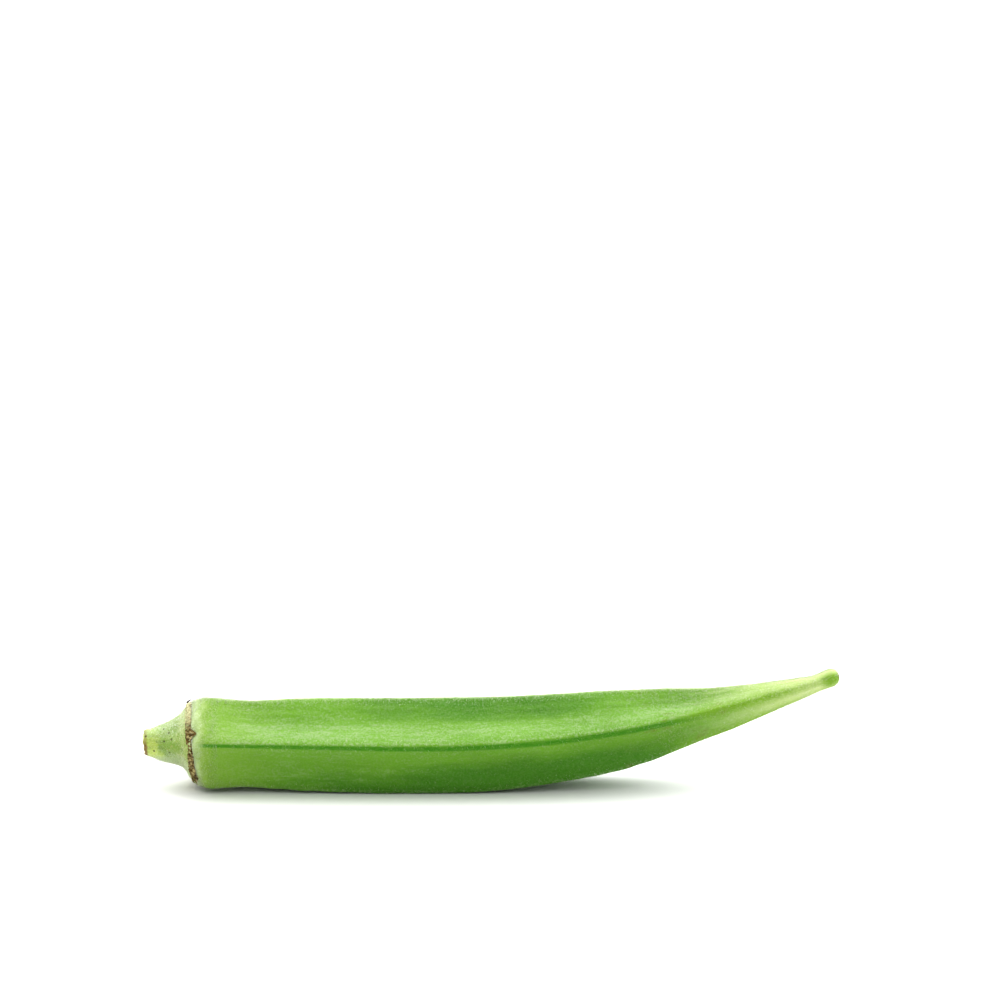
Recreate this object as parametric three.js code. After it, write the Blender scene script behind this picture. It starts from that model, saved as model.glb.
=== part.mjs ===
// An okra pod as picked, lying on its belly. Units are millimetres, +Z is up and +X runs from stem to tip.
//
// The pod is a five-ridged capsule. It swells behind its shoulder, narrows into a blunt beak and lifts its tip
// off the surface. A cone-shaped cap with a short cut stem closes its other end. A dry collar, left where the
// calyx dropped off, lies in the groove between the two. Each solid is a lathe shape whose points are then
// placed round a bent spine.
import * as THREE from "three";

// Distances along the spine. It starts at the collar, and the stem lies behind that, at distances below 0.
const POD_LENGTH = 136.8;
const STEM_CUT = -9.8;

// Five ridges, one straight up, so that the pod stands on the lowest two.
const RIDGES = 5;
const TOP_RIDGE = 90;
const HALF_FACE = 180 / RIDGES;
const RIDGE_ROUNDING = 0.09;

// The spine sags a little under the belly, then bends up and slightly aside between two distances.
const SAG_ANGLE = -0.85;
const LIFT_ANGLE = 15.1;
const SIDE_ANGLE = 3.6;
const BEND_START = 32;
const BEND_END = 128;

// Radius from the spine to a ridge: [distance along the spine, radius].
const POD_RADIUS = [
  [0, 7.3],
  [0.9, 8.8],
  [1.9, 9.45],
  [3.6, 9.9],
  [11.5, 9.4],
  [23, 9.95],
  [42, 10.4],
  [64, 10.15],
  [85, 9.05],
  [96, 7.65],
  [107, 5.5],
  [119.5, 3.45],
  [128, 2.35],
  [POD_LENGTH, 1.55],
];
const TIP_ROUNDING = 2.2;

// Radius in the valley between two ridges, as a share of the ridge radius: [distance, share].
const VALLEY_SHARE = [
  [STEM_CUT, 1],
  [-3, 0.97],
  [0, 0.93],
  [5, 0.84],
  [18, 0.755],
  [60, 0.76],
  [110, 0.77],
  [126, 0.86],
  [POD_LENGTH, 0.98],
];

// Radius of the cap from its cut end to the collar: [share of the way, radius]. Its upper side flares early
// and its under side flares late.
const CAP_ABOVE = [
  [0, 2.5],
  [0.14, 2.85],
  [0.37, 4.2],
  [0.6, 5.45],
  [0.8, 6.9],
  [0.9, 7.9],
  [0.95, 8.1],
  [1, 7.3],
];
const CAP_BELOW = [
  [0, 2.5],
  [0.13, 2.75],
  [0.31, 3.4],
  [0.5, 4.0],
  [0.68, 4.6],
  [0.8, 5.5],
  [0.89, 7.2],
  [0.95, 8.0],
  [1, 7.3],
];

// The collar leans: it lies nearer to the stem above than below. The lean fades out along the shoulder.
// Its section is [radius, distance], inner edge first.
const COLLAR_LEAN = 1.05;
const LEAN_FADES = 9;
const COLLAR_SECTION = [
  [7.8, 0],
  [8.6, -0.45],
  [9.0, -0.35],
  [9.1, 0.1],
  [8.95, 0.5],
];
// Each end face stands this far from the middle of the groove.
const GROOVE_HALF_WIDTH = 0.15;

const SIDES = 40;
const POD_STEPS = 56;
const CAP_STEPS = 12;
const SPINE_STEPS = 120;

const SKIN = new THREE.MeshStandardMaterial({ color: 0x6da23c, roughness: 0.5, metalness: 0 });
const CAP = new THREE.MeshStandardMaterial({ color: 0x9db56a, roughness: 0.65, metalness: 0 });
const SCAR = new THREE.MeshStandardMaterial({ color: 0x6e5a3c, roughness: 0.9, metalness: 0 });

// A smooth curve through knots [position, value], held level outside them.
function smooth(knots, at) {
  const last = knots.length - 1;
  if (at <= knots[0][0]) return knots[0][1];
  if (at >= knots[last][0]) return knots[last][1];
  const i = knots.findIndex(([position]) => position > at) - 1;
  const slope = (a, b) => (knots[b][1] - knots[a][1]) / (knots[b][0] - knots[a][0]);
  const startSlope = slope(Math.max(i - 1, 0), i + 1);
  const endSlope = slope(i, Math.min(i + 2, last));
  const span = knots[i + 1][0] - knots[i][0];
  const t = (at - knots[i][0]) / span;
  return (
    knots[i][1] * (1 + 2 * t) * (1 - t) ** 2 +
    knots[i + 1][1] * t * t * (3 - 2 * t) +
    span * (startSlope * t * (1 - t) ** 2 - endSlope * t * t * (1 - t))
  );
}

// The frame of the spine at a distance: its point, and the unit vectors aside and up across it.
function spineFrame(distance) {
  const point = new THREE.Vector3();
  const heading = new THREE.Vector3();
  const step = distance / SPINE_STEPS;
  for (let i = 0; i <= SPINE_STEPS; i++) {
    const bend = THREE.MathUtils.smoothstep(i * step, BEND_START, BEND_END);
    const pitch = THREE.MathUtils.degToRad(SAG_ANGLE + (LIFT_ANGLE - SAG_ANGLE) * bend);
    const yaw = THREE.MathUtils.degToRad(SIDE_ANGLE * bend);
    heading.set(Math.cos(pitch) * Math.cos(yaw), Math.cos(pitch) * Math.sin(yaw), Math.sin(pitch));
    if (i < SPINE_STEPS) point.addScaledVector(heading, step);
  }
  const aside = new THREE.Vector3(0, 0, 1).cross(heading).normalize();
  const up = heading.clone().cross(aside);
  return { point, aside, up };
}

// How far the skin is from the spine at an angle, as a share of the ridge radius there.
function ridgedShare(angle, distance) {
  const around = THREE.MathUtils.euclideanModulo(angle - TOP_RIDGE + HALF_FACE, 2 * HALF_FACE) - HALF_FACE;
  const fromRidge = Math.abs(around) / HALF_FACE;
  const full = Math.hypot(1, RIDGE_ROUNDING) - RIDGE_ROUNDING;
  const rounded = (Math.hypot(fromRidge, RIDGE_ROUNDING) - RIDGE_ROUNDING) / full;
  const valley = smooth(VALLEY_SHARE, distance);
  return valley + (1 - valley) * (1 - rounded) ** 2;
}

function podRadius(distance) {
  const intoTip = Math.max(0, (distance - POD_LENGTH) / TIP_ROUNDING + 1);
  return smooth(POD_RADIUS, distance) * Math.sqrt(Math.max(0, 1 - intoTip ** 2));
}

function capRadius(share, angle) {
  const below = (1 - Math.sin(THREE.MathUtils.degToRad(angle))) / 2;
  return THREE.MathUtils.lerp(smooth(CAP_ABOVE, share), smooth(CAP_BELOW, share), below);
}

function lean(angle, distance) {
  const fade = 1 - THREE.MathUtils.smoothstep(distance, 0, LEAN_FADES);
  return -COLLAR_LEAN * Math.sin(THREE.MathUtils.degToRad(angle)) * fade;
}

// A closed lathe shape round the spine. place turns one of its points, given as radius, height and angle, into
// the radius and the distance where it stands.
function placedLathe(profile, place) {
  const geometry = new THREE.LatheGeometry(
    profile.map(([radius, height]) => new THREE.Vector2(radius, height)),
    SIDES,
  );
  const position = geometry.getAttribute("position");
  const frames = new Map();
  for (let i = 0; i < position.count; i++) {
    const [x, height, z] = [position.getX(i), position.getY(i), position.getZ(i)];
    const angle = THREE.MathUtils.radToDeg(Math.atan2(x, z));
    const { radius, distance } = place(Math.hypot(x, z), height, angle);
    const key = distance.toFixed(4);
    if (!frames.has(key)) frames.set(key, spineFrame(distance));
    const { point, aside, up } = frames.get(key);
    const turn = THREE.MathUtils.degToRad(angle);
    const placed = point
      .clone()
      .addScaledVector(aside, radius * Math.cos(turn))
      .addScaledVector(up, radius * Math.sin(turn));
    position.setXYZ(i, placed.x, placed.y, placed.z);
  }
  geometry.computeVertexNormals();
  return geometry;
}

// The pod: a flat end face at the collar, then the skin, with its rings closer together at both ends.
function makePod() {
  const profile = [[0, 0]];
  for (let i = 0; i < POD_STEPS; i++) {
    profile.push([1, (POD_LENGTH * (1 - Math.cos((Math.PI * i) / POD_STEPS))) / 2]);
  }
  profile.push([0, POD_LENGTH]);
  return placedLathe(profile, (share, height, angle) => ({
    radius: share * podRadius(height) * ridgedShare(angle, height),
    distance: Math.max(height, GROOVE_HALF_WIDTH) + share * lean(angle, height),
  }));
}

// The cap and stem: a flat cut end, the flaring skin, and a flat end face at the collar.
function makeCap() {
  const profile = [[0, 0]];
  for (let i = 0; i <= CAP_STEPS; i++) {
    profile.push([1, Math.sin((Math.PI * i) / (2 * CAP_STEPS))]);
  }
  profile.push([0, 1]);
  return placedLathe(profile, (share, way, angle) => {
    const end = share * lean(angle, 0) - GROOVE_HALF_WIDTH;
    const distance = THREE.MathUtils.lerp(STEM_CUT, end, way);
    return { radius: share * capRadius(way, angle) * ridgedShare(angle, distance), distance };
  });
}

// The dry collar: a thin ring in the groove between the cap and the shoulder.
function makeCollar() {
  const profile = [...COLLAR_SECTION, COLLAR_SECTION[0]];
  return placedLathe(profile, (radius, height, angle) => ({
    radius: radius * ridgedShare(angle, 0),
    distance: height + lean(angle, 0),
  }));
}

function named(name, geometry, material) {
  const mesh = new THREE.Mesh(geometry, material);
  mesh.name = name;
  return mesh;
}

const okra = new THREE.Group();
okra.add(named("pod", makePod(), SKIN));
okra.add(named("calyx_scar", makeCollar(), SCAR));
okra.add(named("stem_cap", makeCap(), CAP));

// The origin is the middle of the pod's outline, on the surface that it lies on.
const box = new THREE.Box3().setFromObject(okra);
const middle = box.getCenter(new THREE.Vector3());
okra.position.set(-middle.x, -middle.y, -box.min.z);

export default okra;
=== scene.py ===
"""An okra pod as picked, lying on its belly on a pale floor.

Each piece is spun round a straight spine, then placed round the bent one, with the same sizes as the solids
that it stands for. Sizes along and round the pod are in millimetres, and angles run from +Y towards +Z.
"""

import math

import bmesh
import bpy
import numpy as np
from bpy.props import FloatProperty, FloatVectorProperty, IntProperty, PointerProperty
from mathutils import Matrix, Vector


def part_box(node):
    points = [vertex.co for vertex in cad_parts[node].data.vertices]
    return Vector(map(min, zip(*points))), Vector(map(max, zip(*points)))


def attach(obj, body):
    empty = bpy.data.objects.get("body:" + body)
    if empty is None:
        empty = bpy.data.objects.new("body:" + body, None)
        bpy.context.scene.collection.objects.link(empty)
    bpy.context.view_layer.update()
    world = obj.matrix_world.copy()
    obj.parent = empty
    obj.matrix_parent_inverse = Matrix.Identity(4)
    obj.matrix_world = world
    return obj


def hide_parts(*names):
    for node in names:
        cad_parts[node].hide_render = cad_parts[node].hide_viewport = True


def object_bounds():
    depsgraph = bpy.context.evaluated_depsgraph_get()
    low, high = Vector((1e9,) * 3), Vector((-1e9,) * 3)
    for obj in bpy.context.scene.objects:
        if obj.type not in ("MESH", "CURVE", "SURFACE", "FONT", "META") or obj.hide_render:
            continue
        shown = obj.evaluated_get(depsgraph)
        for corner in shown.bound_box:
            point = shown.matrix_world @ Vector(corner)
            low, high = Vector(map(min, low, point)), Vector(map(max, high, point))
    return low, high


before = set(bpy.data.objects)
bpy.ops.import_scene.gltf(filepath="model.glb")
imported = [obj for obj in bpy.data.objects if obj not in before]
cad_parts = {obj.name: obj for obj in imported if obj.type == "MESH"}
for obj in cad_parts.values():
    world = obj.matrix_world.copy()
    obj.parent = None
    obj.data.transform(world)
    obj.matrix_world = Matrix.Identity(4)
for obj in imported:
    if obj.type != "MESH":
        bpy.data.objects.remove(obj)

bl_info = {
    "name": "Okra pod",
    "version": (1, 0, 0),
    "blender": (4, 5, 0),
    "location": "3D View > Sidebar > Okra",
    "description": "Builds a five-ridged okra pod with its collar, stem and hairs",
    "category": "Add Mesh",
}

MM = 0.001
CAD_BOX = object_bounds()

# ---------------------------------------------------------------- shape

POD_LENGTH = 136.8
STEM_CUT = -9.8
RIDGES = 5
TOP_RIDGE = 90
HALF_FACE = 180 / RIDGES
RIDGE_ROUNDING = 0.09
SAG_ANGLE = -0.85
LIFT_ANGLE = 15.1
SIDE_ANGLE = 3.6
BEND = (32, 128)
TIP_ROUNDING = 1.9
COLLAR_LEAN = 0.85
LEAN_FADES = 9
# Both skins run on under the collar: the cap up to here, and the pod from here.
CAP_END = 0.05
POD_START = 0.15

# Radius from the spine to a ridge: (distance along the spine, radius). The skin meets the collar flush, where
# the solid under it stops short at a groove.
POD_RADIUS = [
    (0, 8.6),
    (0.8, 9.02),
    (1.9, 9.45),
    (3.6, 9.9),
    (11.5, 9.4),
    (23, 9.95),
    (42, 10.4),
    (64, 10.15),
    (85, 9.05),
    (96, 7.65),
    (107, 5.6),
    (113, 4.65),
    (119.5, 3.6),
    (128, 2.35),
    (131.5, 1.85),
    (134.5, 1.93),
    (POD_LENGTH, 1.95),
]

# Radius in the valley between two ridges, as a share of the ridge radius: (distance, share).
VALLEY_SHARE = [
    (STEM_CUT, 1),
    (-3, 0.97),
    (0, 0.93),
    (5, 0.84),
    (18, 0.755),
    (60, 0.76),
    (106, 0.775),
    (118, 0.86),
    (127, 0.95),
    (POD_LENGTH, 0.99),
]

# Radius of the cap from its cut end to the collar: (share of the way, radius).
CAP_ABOVE = [(0, 2.75), (0.14, 2.95), (0.37, 3.8), (0.6, 4.8), (0.8, 6.1), (0.92, 7.5), (1, 8.6)]
CAP_BELOW = [(0, 2.7), (0.13, 3.1), (0.31, 3.9), (0.5, 4.3), (0.68, 4.75), (0.8, 5.5), (0.9, 7.2), (1, 8.5)]


def smooth(knots, at):
    """A smooth curve through knots (position, value), held level outside them."""
    x, y = np.array(knots, float).T
    at = np.clip(at, x[0], x[-1])
    i = np.clip(np.searchsorted(x, at, side="right") - 1, 0, len(x) - 2)
    before, after = np.maximum(i - 1, 0), np.minimum(i + 2, len(x) - 1)
    start_slope = (y[i + 1] - y[before]) / (x[i + 1] - x[before])
    end_slope = (y[after] - y[i]) / (x[after] - x[i])
    span = x[i + 1] - x[i]
    t = (at - x[i]) / span
    ends = y[i] * (1 + 2 * t) * (1 - t) ** 2 + y[i + 1] * t * t * (3 - 2 * t)
    return ends + span * (start_slope * t * (1 - t) ** 2 - end_slope * t * t * (1 - t))


def step(value, low, high):
    """0 below low and 1 above high, with a smooth rise between them."""
    t = np.clip((value - low) / (high - low), 0, 1)
    return t * t * (3 - 2 * t)


def spine_table():
    """Distances along the spine, its points, and its headings there."""
    distance = np.linspace(STEM_CUT - 2, POD_LENGTH + 2, 3000)
    bend = step(distance, *BEND)
    pitch = np.radians(SAG_ANGLE + (LIFT_ANGLE - SAG_ANGLE) * bend)
    yaw = np.radians(SIDE_ANGLE * bend)
    heading = np.stack([np.cos(pitch) * np.cos(yaw), np.cos(pitch) * np.sin(yaw), np.sin(pitch)], 1)
    moves = (heading[1:] + heading[:-1]) / 2 * np.diff(distance)[:, None]
    point = np.vstack([np.zeros(3), np.cumsum(moves, 0)])
    start = [np.interp(0, distance, point[:, axis]) for axis in range(3)]
    return distance, point - start, heading


SPINE = spine_table()


def round_spine(distance, radius, angle):
    """Points at a radius and angle round the bent spine, in metres, before they are moved to the frame."""
    table, points, headings = SPINE
    point = np.stack([np.interp(distance, table, points[:, axis]) for axis in range(3)], -1)
    heading = np.stack([np.interp(distance, table, headings[:, axis]) for axis in range(3)], -1)
    aside = np.cross([0, 0, 1], heading)
    aside /= np.linalg.norm(aside, axis=-1, keepdims=True)
    up = np.cross(heading, aside)
    turn = np.radians(angle)[..., None]
    return (point + radius[..., None] * (aside * np.cos(turn) + up * np.sin(turn))) * MM


def from_ridge(angle):
    """How far an angle is from the nearest ridge, signed, from -1 to 1 half way to the next ones."""
    return ((angle - TOP_RIDGE + HALF_FACE) % (2 * HALF_FACE) - HALF_FACE) / HALF_FACE


def ridged_share(angle, distance):
    """How far the skin is from the spine, as a share of the ridge radius there."""
    full = math.hypot(1, RIDGE_ROUNDING) - RIDGE_ROUNDING
    rounded = (np.hypot(from_ridge(angle), RIDGE_ROUNDING) - RIDGE_ROUNDING) / full
    valley = smooth(VALLEY_SHARE, distance)
    return valley + (1 - valley) * (1 - rounded) ** 2


def pod_radius(distance):
    """The pod's radius to a ridge, rounded off at its tip."""
    into_tip = np.maximum(0, (distance - POD_LENGTH) / TIP_ROUNDING + 1)
    return smooth(POD_RADIUS, distance) * np.sqrt(np.maximum(0, 1 - into_tip**2))


def skin_radius(distance, angle):
    """The ridged skin's radius. Just behind its end the beak hangs a little below the line of the spine."""
    droop = 0.5 * step(distance, 100, 113) * (1 - step(distance, 130, 136))
    return pod_radius(distance) * ridged_share(angle, distance) - droop * np.sin(np.radians(angle))


def cap_radius(way, angle):
    """The cap's radius at a share of the way to the collar. Its upper and under sides flare differently."""
    below = (1 - np.sin(np.radians(angle))) / 2
    return smooth(CAP_ABOVE, way) * (1 - below) + smooth(CAP_BELOW, way) * below


def lean(angle, distance):
    """How far the collar and the shoulder by it lean towards the stem above, and away from it below."""
    return -COLLAR_LEAN * np.sin(np.radians(angle)) * (1 - step(distance, 0, LEAN_FADES))


def pod_distance(share, height, angle):
    """Where a point of the pod lies along the spine."""
    return np.maximum(height, POD_START) + share * lean(angle, height)


def frame_shift():
    """What moves points round the spine to where the pod's solid lies."""
    height, angle = np.meshgrid(np.linspace(0, POD_LENGTH, 500), np.arange(0, 360, 1.0))
    radius = pod_radius(height) * ridged_share(angle, height)
    points = round_spine(pod_distance(1, height, angle), radius, angle).reshape(-1, 3)
    low, high = (np.array(corner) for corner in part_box("pod"))
    shift = (low + high - points.min(0) - points.max(0)) / 2
    shift[0] = high[0] - points[:, 0].max()
    shift[2] = low[2] - points[:, 2].min()
    return shift


SHIFT = frame_shift()


def ripple(distance, angle, seed, length, lobes, count):
    """A seeded mix of waves over the skin, from about -1 to 1, that closes round the pod.

    length and lobes give the lowest and highest length of a wave along it and number of waves round it.
    """
    random = np.random.default_rng(seed)
    total = 0
    for _ in range(count):
        along = math.tau * distance / random.uniform(*length)
        around = np.radians(angle) * random.integers(*lobes) * random.choice([-1, 1])
        total = total + np.sin(along + around + random.uniform(0, math.tau))
    return total / math.sqrt(count)


# ---------------------------------------------------------------- meshes


def spin_round(bm, geom, steps):
    """Spins points and edges once round X and merges what meets."""
    bmesh.ops.spin(
        bm,
        geom=geom,
        cent=(0, 0, 0),
        axis=(1, 0, 0),
        dvec=(0, 0, 0),
        angle=math.tau,
        steps=steps,
        use_merge=True,
    )
    bmesh.ops.remove_doubles(bm, verts=bm.verts, dist=1e-5)


def spun(profile, sides):
    """A bmesh spun round X from (distance, radius) pairs whose two ends are on the axis."""
    bm = bmesh.new()
    verts = [bm.verts.new((distance, 0, radius)) for distance, radius in profile]
    edges = [bm.edges.new(pair) for pair in zip(verts, verts[1:])]
    spin_round(bm, verts + edges, sides)
    bmesh.ops.recalc_face_normals(bm, faces=bm.faces)
    return bm


def new_piece(name, bm, material):
    """An object from a bmesh, smooth shaded, that rides on the pod's body."""
    mesh = bpy.data.meshes.new(name)
    bm.to_mesh(mesh)
    bm.free()
    mesh.shade_smooth()
    mesh.materials.append(material)
    piece = bpy.data.objects.new(name, mesh)
    bpy.context.scene.collection.objects.link(piece)
    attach(piece, "root")
    return piece


def points_of(mesh):
    points = np.empty(len(mesh.vertices) * 3, np.float32)
    mesh.vertices.foreach_get("co", points)
    return points.reshape(-1, 3).astype(float)


def place(mesh, points):
    """Moves points to the frame, with nothing below the surface that the pod lies on."""
    points = points + SHIFT
    points[:, 2] = np.maximum(points[:, 2], 0)
    mesh.vertices.foreach_set("co", points.astype(np.float32).ravel())
    mesh.update()


def keep(mesh, name, values):
    """Stores one number or one vector for each point, for the material to read."""
    vector = values.ndim == 2
    layer = mesh.attributes.new(name, "FLOAT_VECTOR" if vector else "FLOAT", "POINT")
    layer.data.foreach_set("vector" if vector else "value", values.astype(np.float32).ravel())


def lathe_places(mesh):
    """Each point's radius, distance and angle on a spun mesh."""
    x, y, z = points_of(mesh).T
    return np.hypot(y, z), x, np.degrees(np.arctan2(z, y))


def straight(distance, radius, angle):
    """Places on the pod as if it were straight, in millimetres, for patterns that follow it."""
    turn = np.radians(angle)
    return np.stack([distance, radius * np.cos(turn), radius * np.sin(turn)], 1)


def unroll(mesh, along, angle, radius):
    """A map that unrolls the piece: along it one way and round it the other."""
    loops = np.empty(len(mesh.loops), np.int32)
    mesh.loops.foreach_get("vertex_index", loops)
    starts = np.empty(len(mesh.polygons), np.int32)
    mesh.polygons.foreach_get("loop_start", starts)
    sizes = np.diff(np.append(starts, len(loops)))
    face = np.repeat(np.arange(len(starts)), sizes)
    turn = (angle[loops] / 360) % 1
    on_axis = radius[loops] < 1e-6
    off = np.where(on_axis, np.nan, turn)
    high = np.fmax.reduceat(off, starts)[face]
    low = np.fmin.reduceat(off, starts)[face]
    wraps = high - low > 0.5
    turn = np.where(wraps & (turn < 0.5), turn + 1, turn)
    middle = np.where(wraps, (high + low + 1) / 2, (high + low) / 2)
    turn = np.where(on_axis, middle, turn)
    span = along.max() - along.min()
    places = np.stack([(along[loops] - along.min()) / span, turn / 1.02], 1)
    layer = mesh.uv_layers.new(name="OFBake")
    layer.data.foreach_set("uv", (0.01 + 0.98 * places).astype(np.float32).ravel())


# ---------------------------------------------------------------- shaders


class Value:
    """A socket that Python's operators work on. Each operation adds a Math node."""

    def __init__(self, paint, socket):
        self.paint = paint
        self.socket = socket

    def math(self, operation, *others):
        inputs = dict(enumerate((self, *others)))
        return self.paint.node("ShaderNodeMath", {"operation": operation}, inputs)

    def __add__(self, other):
        return self.math("ADD", other)

    def __sub__(self, other):
        return self.math("SUBTRACT", other)

    def __mul__(self, other):
        return self.math("MULTIPLY", other)

    def __abs__(self):
        return self.math("ABSOLUTE")

    def __rsub__(self, other):
        return self.paint.node("ShaderNodeMath", {"operation": "SUBTRACT"}, {0: other, 1: self})

    __radd__ = __add__
    __rmul__ = __mul__


class Paint:
    """One material and what builds its nodes."""

    def __init__(self, name, **constants):
        self.material = bpy.data.materials.new(name)
        self.material.use_nodes = True
        self.tree = self.material.node_tree
        self.shader = next(node for node in self.tree.nodes if node.type == "BSDF_PRINCIPLED")
        for socket, value in constants.items():
            self.shader.inputs[socket.replace("_", " ")].default_value = value

    def node(self, kind, settings=None, inputs=None, output=0):
        """Adds a node, sets it up, feeds its sockets and returns one of its outputs."""
        node = self.tree.nodes.new(kind)
        for name, value in (settings or {}).items():
            setattr(node, name, value)
        for key, value in (inputs or {}).items():
            self.feed(node.inputs[key], value)
        return Value(self, node.outputs[output])

    def feed(self, socket, value):
        """Links a value to a socket, or sets the socket to a number or colour."""
        if isinstance(value, Value):
            self.tree.links.new(value.socket, socket)
        elif socket.type == "RGBA":
            socket.default_value = (*value, 1)
        else:
            socket.default_value = value

    def set(self, **values):
        for socket, value in values.items():
            self.feed(self.shader.inputs[socket.replace("_", " ")], value)

    def attribute(self, name, output="Fac"):
        return self.node("ShaderNodeAttribute", {"attribute_name": name}, output=output)

    def separate(self, vector):
        return [self.node("ShaderNodeSeparateXYZ", None, {0: vector}, axis) for axis in range(3)]

    def stretched(self, vector, scale):
        """The vector with each axis scaled, for a pattern that is longer one way."""
        return self.node("ShaderNodeVectorMath", {"operation": "MULTIPLY"}, {0: vector, 1: scale})

    def noise(self, vector, scale, detail=3.0, roughness=0.55, distortion=0.0):
        inputs = {"Vector": vector, "Scale": scale, "Detail": detail, "Roughness": roughness}
        inputs["Distortion"] = distortion
        return self.node("ShaderNodeTexNoise", None, inputs)

    def cells(self, vector, scale):
        """The distance from the nearest of a scatter of points."""
        return self.node("ShaderNodeTexVoronoi", None, {"Vector": vector, "Scale": scale}, "Distance")

    def band(self, value, low, high, start=0.0, end=1.0):
        """start where value is at low, end at high, with a smooth change between."""
        inputs = {"Value": value, "From Min": low, "From Max": high, "To Min": start, "To Max": end}
        return self.node("ShaderNodeMapRange", {"interpolation_type": "SMOOTHSTEP"}, inputs)

    def mix(self, factor, first, second):
        """The first colour where the factor is 0, the second where it is 1."""
        return self.node("ShaderNodeMix", {"data_type": "RGBA"}, {0: factor, 6: first, 7: second}, 2)

    def bump(self, height, distance, strength):
        inputs = {"Height": height, "Distance": distance, "Strength": strength}
        return self.node("ShaderNodeBump", None, inputs)


def linear(red, green, blue):
    """A colour given as it looks on a screen, from 0 to 255, in the linear light that shaders use."""
    shares = [channel / 255 for channel in (red, green, blue)]
    return [share / 12.92 if share <= 0.04045 else ((share + 0.055) / 1.055) ** 2.4 for share in shares]


# ---------------------------------------------------------------- settings


def color_property(name, description, color):
    return FloatVectorProperty(
        name=name,
        description=description,
        default=linear(*color),
        size=3,
        min=0,
        max=1,
        subtype="COLOR",
    )


class OkraColors(bpy.types.PropertyGroup):
    """The colours of the pod, its cap, its collar and its hairs."""

    green: color_property("Green", "The skin between the ridges", (106, 152, 38))
    # This darker green also serves as painted shade on the lower flanks and beside the top ridge.
    deep_green_and_shade: color_property("Deep green", "The lower flanks and the upper edge", (68, 122, 12))
    # These pale streaks also carry the painted sheen on upward-facing skin and the painted highlights above
    # the side ridges and on the crests.
    light: color_property("Light streaks", "Soft streaks and mottling in the skin", (153, 172, 133))
    line: color_property("Ridge line", "The thin line under each side ridge", (66, 128, 0))
    # Also the colour of the pale crest on the top ridge, partly painted rim light.
    shoulder: color_property("Shoulder", "The pale band next to the collar", (176, 193, 142))
    lime: color_property("Lime", "Where the shoulder turns green", (137, 164, 66))
    core: color_property("Tip core", "The ridges of the beak and its end", (112, 152, 8))
    # The beak's pale colour also serves as painted sheen along its upper and lower edges.
    tip: color_property("Tip", "The beak at the far end", (200, 212, 154))
    cap: color_property("Cap", "The cap between the collar and the stem", (127, 154, 76))
    # These paler patches also carry the painted sheen on the cap's top and the painted bounce light under it.
    cap_pale: color_property("Pale cap", "Paler patches on the cap", (176, 194, 144))
    stem: color_property("Stem", "The yellow part next to the cut", (186, 200, 108))
    pith: color_property("Pith", "The middle of the cut", (196, 198, 150))
    rind: color_property("Cut rim", "The dried rim of the cut", (132, 104, 74))
    bark: color_property("Collar", "The dry tissue of the collar", (116, 98, 54))
    bark_dark: color_property("Dark collar", "The lips of the collar and the specks", (50, 36, 20))
    bark_light: color_property("Light collar", "The corky middle of the collar", (196, 184, 136))
    cream: color_property("Cream", "The freshest part of the collar, on top", (222, 222, 178))
    hair: color_property("Hairs", "The tips of the hairs on the ridges and the cap", (246, 250, 232))
    down: color_property("Down", "The tips of the down between the ridges", (142, 180, 84))


class OkraSizes(bpy.types.PropertyGroup):
    """The fineness and the small sizes of the pod."""

    rings: IntProperty(name="Rings", description="Rings of points along the pod", default=330, min=60)
    sides: IntProperty(name="Sides", description="Points round the pod", default=240, min=60)
    rib_height: FloatProperty(
        name="Rib height", description="How far the faint lengthwise ribs rise",
        default=0.03 * MM, unit="LENGTH",
    )
    ridge_hairs: IntProperty(name="Ridge hairs", description="Hairs along the ridges", default=8192, min=1)
    down: IntProperty(name="Down", description="Short hairs in each coat on the skin", default=32768, min=1)
    end_down: IntProperty(name="End down", description="Hairs on the shoulder and beak", default=16384, min=1)
    cap_down: IntProperty(name="Cap down", description="Short hairs on the cap", default=8192, min=1)
    view_distance: FloatProperty(
        name="Camera distance", description="From the camera to the pod", default=0.835, unit="LENGTH"
    )
    view_height: FloatProperty(
        name="Camera height", description="The angle at which the camera sees the pod",
        default=math.radians(18.4), subtype="ANGLE",
    )


# ---------------------------------------------------------------- pod


def ring_heights(count):
    """Distances of the pod's rings: close at the shoulder, even along the body, close round the tip."""
    shoulder = np.linspace(0, 6, 48, endpoint=False)
    body = np.linspace(6, POD_LENGTH - TIP_ROUNDING, count, endpoint=False)
    tip = POD_LENGTH - TIP_ROUNDING * (1 - np.sin(np.linspace(0, math.pi / 2, 16, endpoint=False)))
    return np.concatenate([shoulder, body, tip])


def toward_ridges(angle):
    """Moves evenly spread angles closer to the ridges."""
    offset = from_ridge(angle)
    return angle + HALF_FACE * (0.5 * offset + 0.5 * offset**3 - offset)


def ridge_side(angle, radius):
    """Millimetres from the nearest ridge along the skin, positive on its lower side."""
    offset = from_ridge(angle)
    downward = np.sign(-np.cos(np.radians(angle)))
    return offset * np.radians(HALF_FACE) * radius * downward


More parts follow.
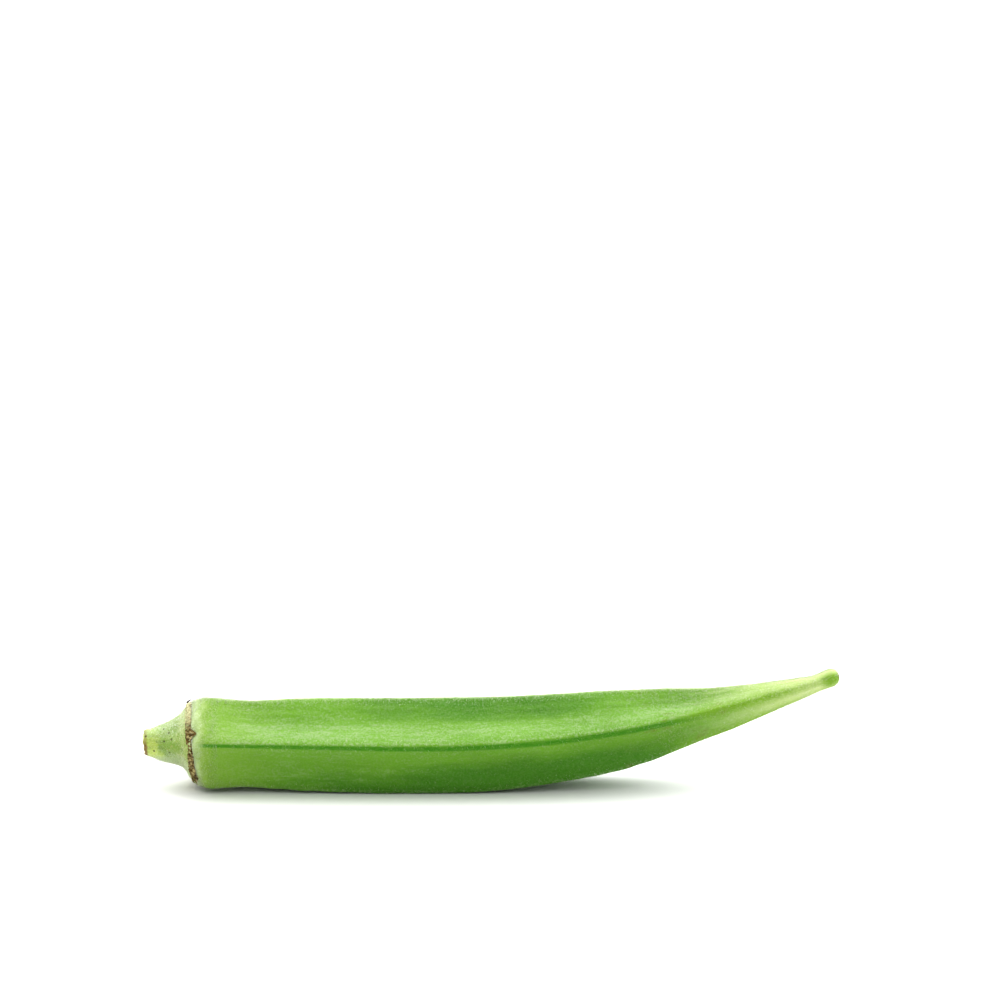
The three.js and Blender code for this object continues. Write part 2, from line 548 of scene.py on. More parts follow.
def pod_relief(height, angle, radius, rib_height):
    """How far the skin stands out from its plain shape, in millimetres."""
    body = step(height, 2, 14) * (1 - step(height, 100, 130))
    between = step(np.abs(from_ridge(angle)), 0.06, 0.3)
    ribs = ripple(height, angle, 11, (25, 90), (14, 34), 14) * between
    swell = ripple(height, angle, 12, (22, 70), (1, 6), 7)
    crumple = ripple(height, angle, 13, (3, 11), (6, 40), 12)
    side = ridge_side(angle, radius)
    cord = np.exp(-((side / 0.4) ** 2)) * (1 + 0.5 * ripple(height, angle, 14, (2, 9), (1, 3), 6))
    groove = np.exp(-(((side - 0.8) / 0.45) ** 2)) * sideways(angle)
    relief = body * (rib_height * ribs + 0.08 * swell + 0.02 * crumple + 0.05 * cord - 0.03 * groove)
    knobs = 0.05 * ripple(height, angle, 15, (1.5, 5), (3, 14), 8) * (1 - step(height, 2, 8))
    return relief + knobs * step(height, 0.2, 1)


def sideways(angle):
    """0 at the very top and bottom of the pod, 1 towards its sides."""
    return step(np.abs(np.cos(np.radians(angle))), 0.35, 0.65)


def shade_and_deep_green(height, angle):
    """How much darker green the skin is: painted shade on the lower flanks, most low down, and beside the top
    ridge, and a little more along the middle.
    """
    up = np.sin(np.radians(angle))
    along = 0.34 * step(height, 3, 20) + 0.66 * step(height, 15, 66)
    low = step(-up, -0.12, 0.72) * along + 0.4 * step(-up, 0.5, 0.85) * step(height, 4, 30)
    low *= 1 - step(height, 88, 110)
    beside_top = step(up, 0.72, 0.95) * step(height, 12, 55) * (1 - step(height, 64, 94))
    return low + 0.75 * beside_top + 0.3 * step(height, 30, 84) * (1 - step(height, 84, 100))


class OKRA_OT_pod(bpy.types.Operator):
    """Build the ridged skin of the pod"""

    bl_idname = "okra.pod"
    bl_label = "Pod"

    def execute(self, context):
        sizes = context.scene.okra_sizes
        heights = ring_heights(sizes.rings)
        profile = [(0, 0), *((height, 1) for height in heights), (POD_LENGTH, 0)]
        skin = new_piece("pod_skin", spun(profile, sizes.sides), skin_material(context))
        mesh = skin.data
        share, height, angle = lathe_places(mesh)
        angle = toward_ridges(angle)
        plain = skin_radius(height, angle)
        relief = pod_relief(height, angle, plain, sizes.rib_height / MM) * np.minimum(1, plain / 1.2)
        radius = share * (plain + relief)
        place(mesh, round_spine(pod_distance(share, height, angle), radius, angle))
        side = ridge_side(angle, plain)
        keep(mesh, "straight", straight(height, radius, angle))
        half_width = 0.37 + 0.18 * step(height, 5, 60)
        keep(mesh, "line", np.exp(-(((side - 0.15 - half_width) / half_width) ** 6)) * sideways(angle))
        # Pale dots of hair bases along each ridge's crest, partly a painted highlight on the crest.
        keep(mesh, "crest_dots_and_highlight", np.exp(-(((side + 0.35) / 0.3) ** 2)))
        keep(mesh, "core", np.exp(-(((side - 0.3) / 1.25) ** 2)) * sideways(angle))
        # A pale hairy crest on the top ridge only, partly painted rim light along the pod's top edge.
        keep(mesh, "fringe_and_rim_light", np.exp(-((side / 0.45) ** 2)) * step(np.sin(np.radians(angle)), 0.8, 0.95))
        keep(mesh, "stain", bumps(angle, STAINS) * np.exp(-((height / 1.5) ** 4)))
        # Painted shade: a darker green mask on the lower flanks, most low down, and beside the top ridge.
        keep(mesh, "deep_green_and_shade", shade_and_deep_green(height, angle))
        keep(mesh, "up", np.sin(np.radians(angle)))
        # Painted highlight: a pale band on the upper side of each side ridge.
        keep(mesh, "painted_highlight_band", step(-side, 0.2, 1.2) * (1 - step(-side, 3.5, 7)) * sideways(angle))
        unroll(mesh, height + share, angle, share)
        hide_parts("pod")
        return {"FINISHED"}


def skin_material(context):
    """Mottled green, paler at the shoulder and the beak, with a fine line under each side ridge, painted
    shade low down and painted sheen and highlights higher up.
    """
    colors = context.scene.okra_colors
    paint = Paint(
        "okra_skin",
        Subsurface_Weight=0.1,
        Subsurface_Radius=(0.9, 1.2, 0.4),
        Subsurface_Scale=0.001,
        Sheen_Weight=0.28,
        Sheen_Roughness=0.3,
        Sheen_Tint=(0.92, 1.0, 0.86, 1),
        Specular_IOR_Level=0.3,
    )
    place_on = paint.attribute("straight", "Vector")
    distance = paint.separate(place_on)[0]
    deep_green_and_shade = paint.attribute("deep_green_and_shade")
    clouds = paint.noise(paint.stretched(place_on, (0.5, 1, 1)), 0.16, 3, 0.5)
    streaks = paint.noise(paint.stretched(place_on, (0.12, 0.8, 0.8)), 1.0, 4, 0.6, 0.9)
    fibres = paint.noise(paint.stretched(place_on, (0.45, 2.2, 2.2)), 1.0, 3, 0.6, 0.8)
    grain = paint.noise(place_on, 2.1, 3, 0.7)
    dots = paint.band(paint.cells(place_on, 1.1), 0.07, 0.15, 1, 0)

    # The darker green mixed in here is mostly painted shade, on the lower flanks and beside the top ridge.
    depth = deep_green_and_shade + (clouds - 0.5) * 0.9 - (streaks - 0.5) * 0.6
    base = paint.mix(paint.band(depth, 0.0, 1.2), colors.green, colors.deep_green_and_shade)
    up = paint.attribute("up")
    # Painted sheen: the pale streaks and specks show fully where the skin faces up and only about half where
    # it faces down.
    painted_upward_sheen = paint.band(up, -0.1, 0.35, 0.55, 1)
    # The pale mask includes the painted highlight band above the side ridges.
    pale = streaks * 0.5 + fibres * 0.55 + grain * 0.7 - deep_green_and_shade * 0.2 + paint.attribute("painted_highlight_band") * 0.08
    base = paint.mix(paint.band(pale, 0.8, 1.2, 0, 0.68) * painted_upward_sheen, base, colors.light)
    base = paint.mix(paint.band(grain, 0.35, 0.75, 0, 0.3) * painted_upward_sheen, base, colors.light)

    ragged = distance + (paint.noise(place_on, 0.45, 4, 0.6) - 0.5) * 4.0
    # The beak's pale colour is partly its own and partly painted sheen: the saturated core and knob below
    # keep to its sides, so its upper and lower edges stay pale.
    base = paint.mix(paint.band(ragged + streaks * 6, 103, 140, 0, 1), base, colors.tip)
    base = paint.mix(paint.band(ragged + streaks * 8, 6, 28, 0.35, 0), base, colors.lime)
    base = paint.mix(paint.band(ragged, 0.8, 6.0, 0.8, 0), base, colors.lime)

    body = paint.band(distance, 1.6, 3.0) * paint.band(distance, 98, 116, 1, 0)
    breaks = paint.noise(paint.stretched(place_on, (0.5, 1.4, 1.4)), 1.4, 3, 0.6)
    breaks = paint.band(breaks, 0.44, 0.64, 1, 0.7)
    base = paint.mix(paint.attribute("line") * breaks * body, base, colors.line)
    # Pale dots along the ridge crests, partly a painted highlight on the crest.
    crest_dots_and_highlight = paint.attribute("crest_dots_and_highlight") * paint.band(grain, 0.4, 0.65, 0.0, 0.8)
    base = paint.mix(crest_dots_and_highlight * body * 0.6, base, colors.light)
    # Kept to the side ridges, so the beak's upper and lower edges keep their painted sheen.
    core = paint.attribute("core") * paint.band(fibres + grain, 0.8, 1.2, 1, 0.65)
    fades = paint.band(distance, 96, 110, 0, 0.95) * paint.band(distance, 120, 132, 1, 0.55)
    base = paint.mix(core * fades, base, colors.core)

    # Pale hairy crest on the top ridge, partly painted rim light along the top edge.
    fringe_and_rim_light = paint.attribute("fringe_and_rim_light") * paint.band(grain, 0.35, 0.6, 0.2, 0.7)
    base = paint.mix(fringe_and_rim_light, base, colors.shoulder)
    pale_edge = ragged + (grain - 0.5) * 1.5 - up * 0.3
    base = paint.mix(paint.band(pale_edge, 0.9, 3.5, 1, 0), base, colors.shoulder)
    base = paint.mix(dots * paint.band(clouds, 0.45, 0.6, 0, 0.35), base, colors.light)
    stain = paint.attribute("stain") * paint.band(grain, 0.35, 0.6, 0.5, 1)
    base = paint.mix(stain, base, colors.bark)

    blemish = paint.band(paint.noise(paint.stretched(place_on, (0.35, 1, 1)), 0.5, 5, 0.75), 0.56, 0.7)
    where = paint.band(distance, 84, 94) * paint.band(distance, 108, 118, 1, 0)
    base = paint.mix(blemish * where * 0.45, base, colors.bark)
    # Weaker on the top and bottom of the knob, which keep their painted sheen.
    knob = paint.band(distance + (grain - 0.5) * 2, POD_LENGTH - 5, POD_LENGTH - 2.4, 0, 0.85)
    base = paint.mix(knob * paint.band(abs(up), 0.4, 0.9, 1, 0.25), base, colors.core)
    end = paint.band(distance + (grain - 0.5) * 0.6, POD_LENGTH - 0.5, POD_LENGTH - 0.15)
    base = paint.mix(end * 0.7, base, colors.bark)

    rough = paint.band(fibres, 0.3, 0.7, 0.5, 0.64)
    height = grain * 0.8 + fibres * 0.5 + dots * 0.6
    paint.set(Base_Color=base, Roughness=rough, Normal=paint.bump(height, 0.00024, 0.7))
    return paint.material


# ---------------------------------------------------------------- cap and stem

CAP_SIDES = 220
# The flank's length in millimetres, for the colours that spread from the rim of the cut.
FLANK_LENGTH = 9.65


class OKRA_OT_cap(bpy.types.Operator):
    """Build the cap with its short cut stem"""

    bl_idname = "okra.cap"
    bl_label = "Cap and stem"

    def execute(self, context):
        face = [(way, way + 1) for way in np.linspace(-1, 0, 34, endpoint=False)]
        flank = [(way, 1) for way in np.linspace(0, 1, 150)]
        cap = new_piece("stem_cap_skin", spun([*face, *flank, (1, 0)], CAP_SIDES), cap_material(context))
        mesh = cap.data
        share, way, angle = lathe_places(mesh)
        along = np.maximum(way, 0)
        on_cut = way <= 0
        plain, distance = cap_places(share, along, angle)
        uneven = 0.1 * ripple(distance, angle, 31, (8, 30), (2, 6), 7)
        uneven += 0.04 * ripple(distance, angle, 32, (5, 20), (8, 26), 10)
        uneven += 0.016 * ripple(distance, angle, 33, (0.8, 2.4), (8, 30), 10)
        uneven *= step(along, 0, 0.1) * (1 - 0.8 * step(along, 0.85, 1)) + 0.2
        pinch = 0.12 * (1 - step(along, 0, 0.035)) ** 2
        radius = share * (plain + uneven - pinch)
        torn = 0.13 * ripple(share, angle, 35, (2, 9), (2, 13), 8)
        tilt = 0.06 * share * np.sin(np.radians(angle))
        edge = (tilt + torn) * (1 - step(along, 0, 0.15))
        distance = np.where(on_cut, STEM_CUT - edge + cut_relief(share, angle), distance - edge)
        place(mesh, round_spine(distance, radius, angle))
        keep(mesh, "straight", straight(distance, radius, angle))
        keep(mesh, "cut", np.where(on_cut, share, 1 + along * FLANK_LENGTH))
        keep(mesh, "top", np.sin(np.radians(angle)))
        unroll(mesh, way, angle, share)
        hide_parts("stem_cap")
        return {"FINISHED"}


def cap_places(share, along, angle):
    """The cap's radius and distance along the spine, at a share of the way from its cut to the collar."""
    end = share * lean(angle, np.zeros_like(angle)) + CAP_END
    distance = STEM_CUT + (end - STEM_CUT) * along
    return cap_radius(along, angle) * ridged_share(angle, distance), distance


def cut_relief(share, angle):
    """How deep the cut lies behind its rim: domed wood, a sunken pith and the marks of the blade."""
    dome = -0.3 * (1 - share**2)
    pith = 0.35 * (1 - step(share, 0.2, 0.42))
    ring = 0.14 * np.exp(-(((share - 0.8) / 0.06) ** 2))
    fibres = 0.05 * ripple(share * 5, angle, 34, (0.6, 2.4), (3, 22), 10) * step(share, 0.1, 0.4)
    return dome + pith + ring + fibres


def cap_material(context):
    """Dusty pale green that turns yellow at the cut, with its own look for the cut wood, and painted light on
    its top and underside.
    """
    colors = context.scene.okra_colors
    paint = Paint(
        "okra_cap",
        Subsurface_Weight=0.08,
        Subsurface_Radius=(0.9, 1.1, 0.5),
        Subsurface_Scale=0.001,
        Sheen_Weight=0.42,
        Sheen_Roughness=0.35,
        Sheen_Tint=(0.94, 1.0, 0.88, 1),
        Specular_IOR_Level=0.3,
    )
    place_on = paint.attribute("straight", "Vector")
    distance = paint.separate(place_on)[0]
    cut = paint.attribute("cut")
    patches = paint.noise(place_on, 0.32, 4, 0.6)
    streaks = paint.noise(paint.stretched(place_on, (0.3, 2.0, 2.0)), 1.0, 4, 0.6, 0.6)
    grain = paint.noise(place_on, 1.9, 4, 0.75)
    top = paint.attribute("top")
    pale = patches * 0.4 + streaks * 0.2 + grain * 0.9
    # Painted light: the cap is paler on top, a painted sheen, and on its underside, painted light bounced
    # from the floor.
    pale = pale + paint.band(top, 0.1, 0.9) * 0.22 + paint.band(top, 0.1, -0.7, 0, 0.5)
    base = paint.mix(paint.band(pale, 0.74, 1.16), colors.cap, colors.cap_pale)
    base = paint.mix(paint.band(grain, 0.36, 0.46, 0.4, 0), base, colors.bark_light)
    yellow = distance + (patches - 0.5) * 5
    flank = paint.band(top + (streaks - 0.5), 0.35, 0.8, 0.75, 0.2)
    base = paint.mix(paint.band(yellow, -7.8, -5.8, 1, 0) * flank, base, colors.stem)
    dusty = paint.band(distance + (patches - 0.5) * 4, -3.6, -1.2) * paint.band(grain, 0.4, 0.65)
    base = paint.mix(dusty * 0.45, base, colors.bark_light)
    base = paint.mix(paint.band(streaks + grain, 0.75, 0.98, 0.4, 0), base, colors.green)

    spots = paint.band(paint.cells(place_on, 0.55), 0.08, 0.16, 1, 0)
    base = paint.mix(spots * 0.8, base, colors.bark_dark)
    tiny = paint.band(paint.cells(place_on, 1.5), 0.1, 0.2, 1, 0)
    tiny = tiny * paint.band(paint.noise(place_on, 0.5), 0.45, 0.6)
    base = paint.mix(tiny * 0.6, base, colors.bark)

    spokes = paint.noise(paint.stretched(place_on, (0.2, 2.6, 2.6)), 1.0, 4, 0.7)
    wood = paint.mix(paint.band(spokes, 0.38, 0.62), colors.pith, colors.stem)
    wood = paint.mix(paint.band(abs(cut - 0.8), 0.02, 0.14, 0.8, 0), wood, colors.rind)
    wood = paint.mix(paint.band(cut + (spokes - 0.5) * 0.3, 0.25, 0.4, 0.8, 0), wood, colors.bark_light)
    base = paint.mix(paint.band(cut, 0.86, 0.98, 1, 0), base, wood)
    rim = paint.band(abs(cut + (grain - 0.5) * 0.8 - 1.25), 0.2, 0.62, 1, 0)
    base = paint.mix(rim * paint.band(top, -0.2, 0.8, 0.9, 0.35), base, colors.rind)
    low_side = paint.band(top, -0.3, 0.6, 0.5, 0)
    base = paint.mix(rim * paint.band(grain, 0.45, 0.6) * low_side, base, colors.bark_dark)

    height = grain * 0.8 + streaks * 0.6 - spots * 0.8
    rough = paint.band(grain, 0.3, 0.7, 0.62, 0.8)
    paint.set(Base_Color=base, Roughness=rough, Normal=paint.bump(height, 0.0002, 0.7))
    return paint.material


# ---------------------------------------------------------------- collar

COLLAR_SIDES = 720

# The collar's section, its outer face first: (distance, radius). Its lips lie flush with the skins.
COLLAR_SECTION = [
    (-0.42, 7.9),
    (-0.36, 8.22),
    (-0.16, 8.5),
    (0.0, 8.66),
    (0.16, 8.7),
    (0.32, 8.8),
    (0.5, 8.88),
    (0.66, 9.02),
    (0.78, 9.12),
    (0.88, 9.08),
    (0.9, 8.85),
    (0.6, 8.4),
    (0.1, 8.0),
]

# Small flakes that stand up from the collar: (angle, half width, height), in degrees and millimetres.
FLAKES = [
    (112, 1.2, 0.2),
    (151, 2.4, 0.18),
    (28, 1.6, 0.3),
    (251, 2.6, 0.2),
    (322, 1.6, 0.3),
    (204, 2.0, 0.12),
]

# Where the dry tissue runs out onto the shoulder: (angle, half width, reach), in degrees and millimetres.
TONGUES = [(149, 4.2, 0.95), (61, 5.0, 0.5), (291, 6.0, 0.6), (219, 3.5, 0.25), (128, 3.0, 0.2)]

# Brown stains on the shoulder beside the collar: (angle, half width, strength).
STAINS = [(148, 4.4, 1.0), (61, 6.0, 0.7), (291, 7.0, 0.8), (221, 4.0, 0.4)]

# The one dry spur: its angle, where it starts, its length, its thickness and how far it leans over.
SPUR_ANGLE = 86
SPUR_START = (-0.24, 8.66)
SPUR_LENGTH = 1.15
SPUR_THICKNESS = 0.38
SPUR_SLOPE = 46


def add_spur(bm):
    """A thin dry spike that leans over the shoulder, in the place that it has on the straight pod."""
    made = bmesh.ops.create_cone(
        bm,
        cap_ends=True,
        segments=10,
        radius1=SPUR_THICKNESS / 2,
        radius2=SPUR_THICKNESS / 3.5,
        depth=SPUR_LENGTH,
    )
    long_edges = [edge for edge in bm.edges if edge.verts[0] in made["verts"] and edge.calc_length() > 0.5]
    bmesh.ops.subdivide_edges(bm, edges=long_edges, cuts=5, use_grid_fill=True)
    verts = [vert for vert in bm.verts if vert.co.length < SPUR_LENGTH]
    for vert in verts:
        up = vert.co.z / SPUR_LENGTH + 0.5
        vert.co.x += 0.1 * up * up
        vert.co.y += 0.05 * math.sin(9 * up)
    slope = Matrix.Rotation(math.radians(SPUR_SLOPE), 3, "Y")
    bmesh.ops.rotate(bm, verts=verts, cent=(0, 0, -SPUR_LENGTH / 2), matrix=slope)
    bmesh.ops.translate(bm, verts=verts, vec=(SPUR_START[0], 0, SPUR_START[1] + SPUR_LENGTH / 2))
    turn = Matrix.Rotation(math.radians(SPUR_ANGLE - 90), 3, "X")
    bmesh.ops.rotate(bm, verts=verts, cent=(0, 0, 0), matrix=turn)


def bumps(angle, places):
    """A sum of rounded peaks round the pod."""
    away = ((angle[:, None] - np.array([at for at, _, _ in places]) + 180) % 360) - 180
    widths, heights = np.array([(width, height) for _, width, height in places]).T
    return (heights * np.exp(-((away / widths) ** 2))).sum(1)


class OKRA_OT_collar(bpy.types.Operator):
    """Build the dry collar where the calyx dropped off"""

    bl_idname = "okra.collar"
    bl_label = "Calyx scar"

    def execute(self, context):
        bm = bmesh.new()
        verts = [bm.verts.new((distance, 0, radius)) for distance, radius in COLLAR_SECTION]
        edges = [bm.edges.new((verts[i - 1], verts[i])) for i in range(len(verts))]
        bmesh.ops.subdivide_edges(bm, edges=edges, cuts=2, smooth=0)
        spin_round(bm, bm.verts[:] + bm.edges[:], COLLAR_SIDES)
        ring_size = len(bm.verts)
        add_spur(bm)
        bmesh.ops.recalc_face_normals(bm, faces=bm.faces)
        collar = new_piece("calyx_collar", bm, collar_material(context))
        mesh = collar.data
        radius, distance, angle = lathe_places(mesh)
        on_ring = np.arange(len(radius)) < ring_size
        out = step(radius, 7.9, 8.3) * on_ring
        torn = ripple(distance, angle, 51, (0.8, 3), (20, 110), 16)
        lumps = ripple(distance, angle, 52, (2, 6), (3, 18), 9)
        left, right = 1 - step(distance, -0.32, 0.1), step(distance, 0.5, 0.8)
        flakes = bumps(angle, FLAKES) * np.maximum(left, 0.6 * right)
        reach = bumps(angle, TONGUES) * right
        new_radius = radius + out * (0.04 * torn + 0.05 * lumps + flakes)
        new_distance = distance + out * (
            right * (0.1 * lumps + 0.05 * torn)
            - left * (0.14 * ripple(distance, angle, 53, (2, 6), (2, 14), 8) + 0.06 * torn)
            + reach
            + 0.5 * flakes
        )
        level = np.zeros_like(angle)
        share = ridged_share(angle, level)
        new_radius = new_radius * share + 0.55 * reach
        place(mesh, round_spine(new_distance + lean(angle, level), new_radius, angle))
        keep(mesh, "straight", straight(distance, radius, angle))
        keep(mesh, "lip", (left + right) * out)
        keep(mesh, "fresh", step(np.sin(np.radians(angle)), 0.55, 0.95) * on_ring)
        keep(mesh, "spur", 1.0 * ~on_ring)
        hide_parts("calyx_scar")
        return {"FINISHED"}


def collar_material(context):
    """Dry brown tissue with a corky middle and dark lips."""
    colors = context.scene.okra_colors
    paint = Paint("okra_collar", Specular_IOR_Level=0.15)
    place_on = paint.attribute("straight", "Vector")
    cork = paint.noise(place_on, 0.9, 5, 0.75, 0.6)
    crumbs = paint.noise(place_on, 2.2, 4, 0.75)
    lip = paint.attribute("lip")
    fresh = paint.attribute("fresh")
    base = paint.mix(paint.band(cork, 0.45, 0.62), colors.bark, colors.bark_light)
    base = paint.mix(paint.band(crumbs, 0.47, 0.58) * 0.75, base, colors.bark_dark)
    base = paint.mix(lip * paint.band(crumbs, 0.4, 0.56, 0.0, 0.6), base, colors.bark_dark)
    cream = fresh * paint.band(cork + crumbs, 0.9, 1.15, 0.85, 0.25)
    base = paint.mix(cream, base, colors.cream)
    base = paint.mix(paint.attribute("spur"), base, colors.bark_dark)
    height = cork + crumbs * 0.8
    rough = paint.band(cork, 0.3, 0.7, 0.95, 0.8)
    paint.set(Base_Color=base, Roughness=rough, Normal=paint.bump(height, 0.0005, 0.9))
    return paint.material


# ---------------------------------------------------------------- hairs

# How far apart the cones of a strip stand before they are grown.
STRIP_STEP = 4


def hair_strip(name, count, segments, material):
    """Many straight unit cones, each at its own whole number along X, made by doubling one."""
    bm = bmesh.new()
    bmesh.ops.create_cone(bm, cap_ends=True, cap_tris=False, segments=3, radius1=1, radius2=0, depth=1)
    bmesh.ops.translate(bm, verts=bm.verts, vec=(0, 0, 0.5))
    if segments > 1:
        slopes = [edge for edge in bm.edges if abs(edge.verts[0].co.z - edge.verts[1].co.z) > 0.5]
        bmesh.ops.subdivide_edges(bm, edges=slopes, cuts=segments - 1)
    made = 1
    while made < count:
        copied = bmesh.ops.duplicate(bm, geom=bm.verts[:] + bm.edges[:] + bm.faces[:])["geom"]
        moved = [item for item in copied if isinstance(item, bmesh.types.BMVert)]
        bmesh.ops.translate(bm, verts=moved, vec=(STRIP_STEP * made, 0, 0))
        made *= 2
    return new_piece(name, bm, material)


def grow(piece, roots, directions, lengths, width, seed):
    """Stands each cone of a hair strip on its root, leaning and curling a little."""
    mesh = piece.data
    points = points_of(mesh)
    index = np.round(points[:, 0] / STRIP_STEP).astype(int)
    across_strip, up = points[:, 0:1] - STRIP_STEP * index[:, None], points[:, 2:3]
    random = np.random.default_rng(seed)
    across = np.cross(directions, random.normal(size=directions.shape))
    across /= np.linalg.norm(across, axis=1, keepdims=True)
    other = np.cross(directions, across)
    curl = across[index] * (random.uniform(0.05, 0.45, len(roots))[index, None] * up**2)
    stem = roots[index] + lengths[index, None] * (directions[index] * up + curl)
    stem += width * (1 - 0.35 * up) * (across[index] * across_strip + other[index] * points[:, 1:2])
    stem[:, 2] = np.maximum(stem[:, 2], 0)
    mesh.vertices.foreach_set("co", stem.astype(np.float32).ravel())
    mesh.update()
    tones = 16
    tone = random.integers(0, tones, len(roots))
    loops = np.empty(len(mesh.loops), np.int32)
    mesh.loops.foreach_get("vertex_index", loops)
    across_map = (tone[index][loops] + 0.5 + 0.35 * across_strip[loops, 0]) / tones
    layer = mesh.uv_layers.new(name="OFBake")
    places = np.stack([across_map, 0.05 + 0.9 * up[loops, 0]], 1)
    layer.data.foreach_set("uv", places.astype(np.float32).ravel())


def pod_point(height, angle, sink):
    """Points a little way under the pod's skin."""
    return round_spine(pod_distance(1, height, angle), skin_radius(height, angle) - sink, angle) + SHIFT


def cap_point(way, angle, sink):
    """Points a little way under the cap's skin."""
    radius, distance = cap_places(1, way, angle)
    return round_spine(distance, radius - sink, angle) + SHIFT


def roots_on(point, along, angle, sink=0.03):
    """Points just under a skin, the directions straight out of it, and those along it."""
    root = point(along, angle, sink)
    forward = point(along + 0.005, angle, sink) - root
    around = point(along, angle + 0.3, sink) - root
    outward = np.cross(around, forward)
    outward /= np.linalg.norm(outward, axis=1, keepdims=True)
    return root, outward, forward / np.linalg.norm(forward, axis=1, keepdims=True)


def on_ridges(random, count):
    """Places close to the ridges, given as heights and angles, thickest on the top one."""
    height = 0.8 + (POD_LENGTH - 1.2) * random.uniform(0, 1, count) ** 1.25
    which = random.integers(1, RIDGES, count) * (random.uniform(0, 1, count) < 0.4)
    angle = TOP_RIDGE + 2 * HALF_FACE * which + random.normal(0, 4.5, count)
    return height, angle - 2.2 * np.sign(-np.cos(np.radians(angle))) * sideways(angle)


def between_ridges(random, count):
    """Places all round the body, given as heights and angles. They thin out where the beak starts."""
    height = 0.6 + 104 * random.uniform(0, 1, count) + 12 * random.uniform(0, 1, count)
    return height, random.uniform(0, 360, count)


def near_ends(random, count):
    """Places on the shoulder and on the beak, given as heights and angles."""
    shoulder = 0.9 + 5 * random.uniform(0, 1, count) ** 2
    beak = POD_LENGTH - 0.2 - 40 * random.uniform(0, 1, count) ** 0.9
    return np.where(random.uniform(0, 1, count) < 0.5, shoulder, beak), random.uniform(0, 360, count)


def on_cap(random, count):
    """Places on the cap, given as shares of the way to the collar and angles."""
    return random.uniform(0.03, 0.9, count) ** 0.7, random.uniform(0, 360, count)


class OKRA_OT_hairs(bpy.types.Operator):
    """Grow the hairs of the ridges and the down between them and on the cap"""

    bl_idname = "okra.hairs"
    bl_label = "Hairs"

    def execute(self, context):
        sizes = context.scene.okra_sizes
        colors = context.scene.okra_colors
        hair = hair_material("okra_hair", colors.shoulder, colors.hair)
        down = hair_material("okra_down", colors.green, colors.down)
        grow_coat("ridge_hairs", sizes.ridge_hairs, 2, hair, (pod_point, on_ridges), 71, (0.3, 0.9), 0.028)
        for coat in range(2):
            name = f"skin_down_{coat + 1}"
            grow_coat(name, sizes.down, 1, down, (pod_point, between_ridges), 72 + coat, (0.16, 0.42), 0.018)
        grow_coat("end_down", sizes.end_down, 1, hair, (pod_point, near_ends), 75, (0.2, 0.5), 0.022)
        grow_coat("cap_down", sizes.cap_down, 1, hair, (cap_point, on_cap), 76, (0.16, 0.5), 0.022)
        return {"FINISHED"}


def grow_coat(name, count, segments, material, ground, seed, length, width):
    """One coat of hairs. ground is what places a point on a skin and what scatters the points."""
    piece = hair_strip(name, count, segments, material)
    point, scatter = ground
    random = np.random.default_rng(seed)
    root, outward, forward = roots_on(point, *scatter(random, count))
    direction = outward + 0.35 * random.normal(size=outward.shape) + 0.2 * forward
    buried = np.sum(direction * outward, axis=1) < 0.35
    direction[buried] = outward[buried]
    direction /= np.linalg.norm(direction, axis=1, keepdims=True)
    grow(piece, root, direction, random.uniform(*length, count) * MM, width * MM, seed + 200)


def hair_material(name, root, tip):
    """Fine hairs that grow paler from root to tip."""
    paint = Paint(
        name, Roughness=0.6, Specular_IOR_Level=0.2, Subsurface_Weight=0.7, Subsurface_Scale=0.0005,
        Subsurface_Radius=(1, 1, 0.8),
    )
    tone, along, _ = paint.separate(paint.node("ShaderNodeUVMap", {"uv_map": "OFBake"}))
    base = paint.mix(paint.band(along, 0.0, 0.8), root, tip)
    paint.set(Base_Color=paint.mix(paint.band(tone, 0.5, 1.0, 0, 0.5), base, root))
    return paint.material


# ---------------------------------------------------------------- stage


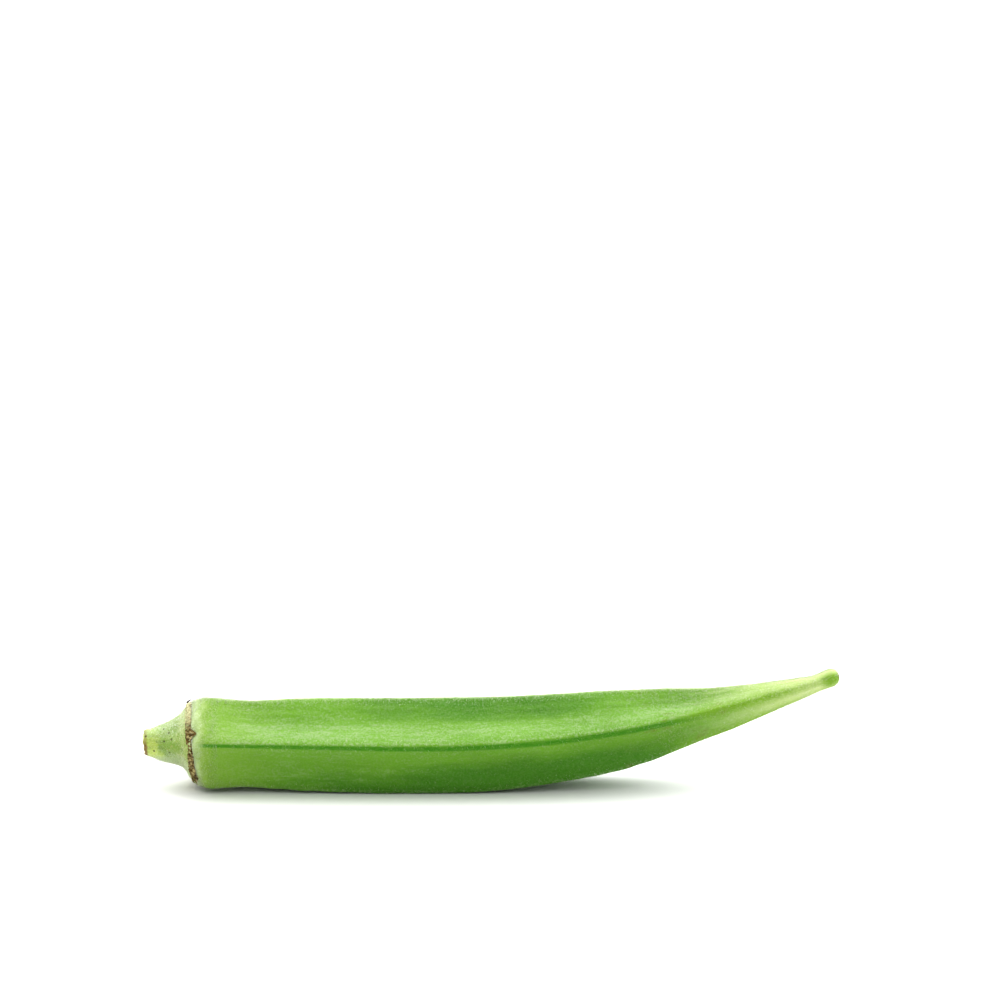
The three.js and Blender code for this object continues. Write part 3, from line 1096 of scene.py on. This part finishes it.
class OKRA_OT_stage(bpy.types.Operator):
    """Set up the pale floor, the soft light and the camera"""

    bl_idname = "okra.stage"
    bl_label = "Stage"

    def execute(self, context):
        self.add_floor()
        self.add_light()
        self.add_camera(context.scene.okra_sizes)
        return {"FINISHED"}

    def add_floor(self):
        bm = bmesh.new()
        bmesh.ops.create_grid(bm, x_segments=1, y_segments=1, size=6)
        mesh = bpy.data.meshes.new("floor")
        bm.to_mesh(mesh)
        bm.free()
        floor = bpy.data.objects.new("floor", mesh)
        bpy.context.scene.collection.objects.link(floor)
        paint = Paint("floor", Roughness=0.6, Specular_IOR_Level=0.2)
        cloud = paint.noise(paint.node("ShaderNodeTexCoord", output="Object"), 2.0, 2)
        paint.set(Base_Color=paint.mix(cloud, (0.76, 0.76, 0.76), (0.78, 0.78, 0.78)))
        mesh.materials.append(paint.material)

    def add_light(self):
        scene = bpy.context.scene
        scene.view_settings.view_transform = "Standard"
        scene.view_settings.look = "High Contrast"
        world = bpy.data.worlds.new("studio")
        world.use_nodes = True
        sky = world.node_tree.nodes["Background"]
        sky.inputs["Color"].default_value = (1, 1, 1, 1)
        sky.inputs["Strength"].default_value = 0.85
        scene.world = world
        for name, energy, side in (("softbox_right", 1.7, 26), ("softbox_left", 1.35, -24)):
            lamp = bpy.data.lights.new(name, "SUN")
            lamp.energy = energy
            lamp.angle = math.radians(75)
            light = bpy.data.objects.new(name, lamp)
            light.rotation_euler = (math.radians(-23), math.radians(side), 0)
            scene.collection.objects.link(light)

    def add_camera(self, sizes):
        """The pod lies low in the picture, so the camera looks over it."""
        over, aside = math.radians(3.29), 0.0017
        low, high = CAD_BOX
        target = Vector(((low.x + high.x) / 2 + aside, (low.y + high.y) / 2, 0.012))
        pitch = sizes.view_height - over
        forward = Vector((0, math.cos(pitch), -math.sin(pitch)))
        up = Vector((0, math.sin(pitch), math.cos(pitch)))
        camera = bpy.data.objects.new("camera", bpy.data.cameras.new("camera"))
        camera.data.lens = 144
        camera.location = target - sizes.view_distance * (forward - math.tan(over) * up)
        camera.rotation_euler = (math.pi / 2 - pitch, 0, 0)
        camera.data.clip_start = 0.01
        bpy.context.scene.collection.objects.link(camera)
        bpy.context.scene.camera = camera


# ---------------------------------------------------------------- add-on


OPERATORS = [OKRA_OT_pod, OKRA_OT_cap, OKRA_OT_collar, OKRA_OT_hairs, OKRA_OT_stage]


class OKRA_PT_panel(bpy.types.Panel):
    """Lists the steps that build the pod"""

    bl_idname = "OKRA_PT_panel"
    bl_label = "Okra pod"
    bl_space_type = "VIEW_3D"
    bl_region_type = "UI"
    bl_category = "Okra"

    def draw(self, context):
        for operator in OPERATORS:
            self.layout.operator(operator.bl_idname)
        for settings in (context.scene.okra_sizes, context.scene.okra_colors):
            for name in settings.__annotations__:
                self.layout.prop(settings, name)


CLASSES = [OkraColors, OkraSizes, *OPERATORS, OKRA_PT_panel]


def register():
    for item in CLASSES:
        bpy.utils.register_class(item)
    bpy.types.Scene.okra_colors = PointerProperty(type=OkraColors)
    bpy.types.Scene.okra_sizes = PointerProperty(type=OkraSizes)


def unregister():
    del bpy.types.Scene.okra_colors
    del bpy.types.Scene.okra_sizes
    for item in reversed(CLASSES):
        bpy.utils.unregister_class(item)


def main():
    register()
    bpy.ops.okra.pod()
    bpy.ops.okra.cap()
    bpy.ops.okra.collar()
    bpy.ops.okra.hairs()
    bpy.ops.okra.stage()


if __name__ == "__main__":
    main()
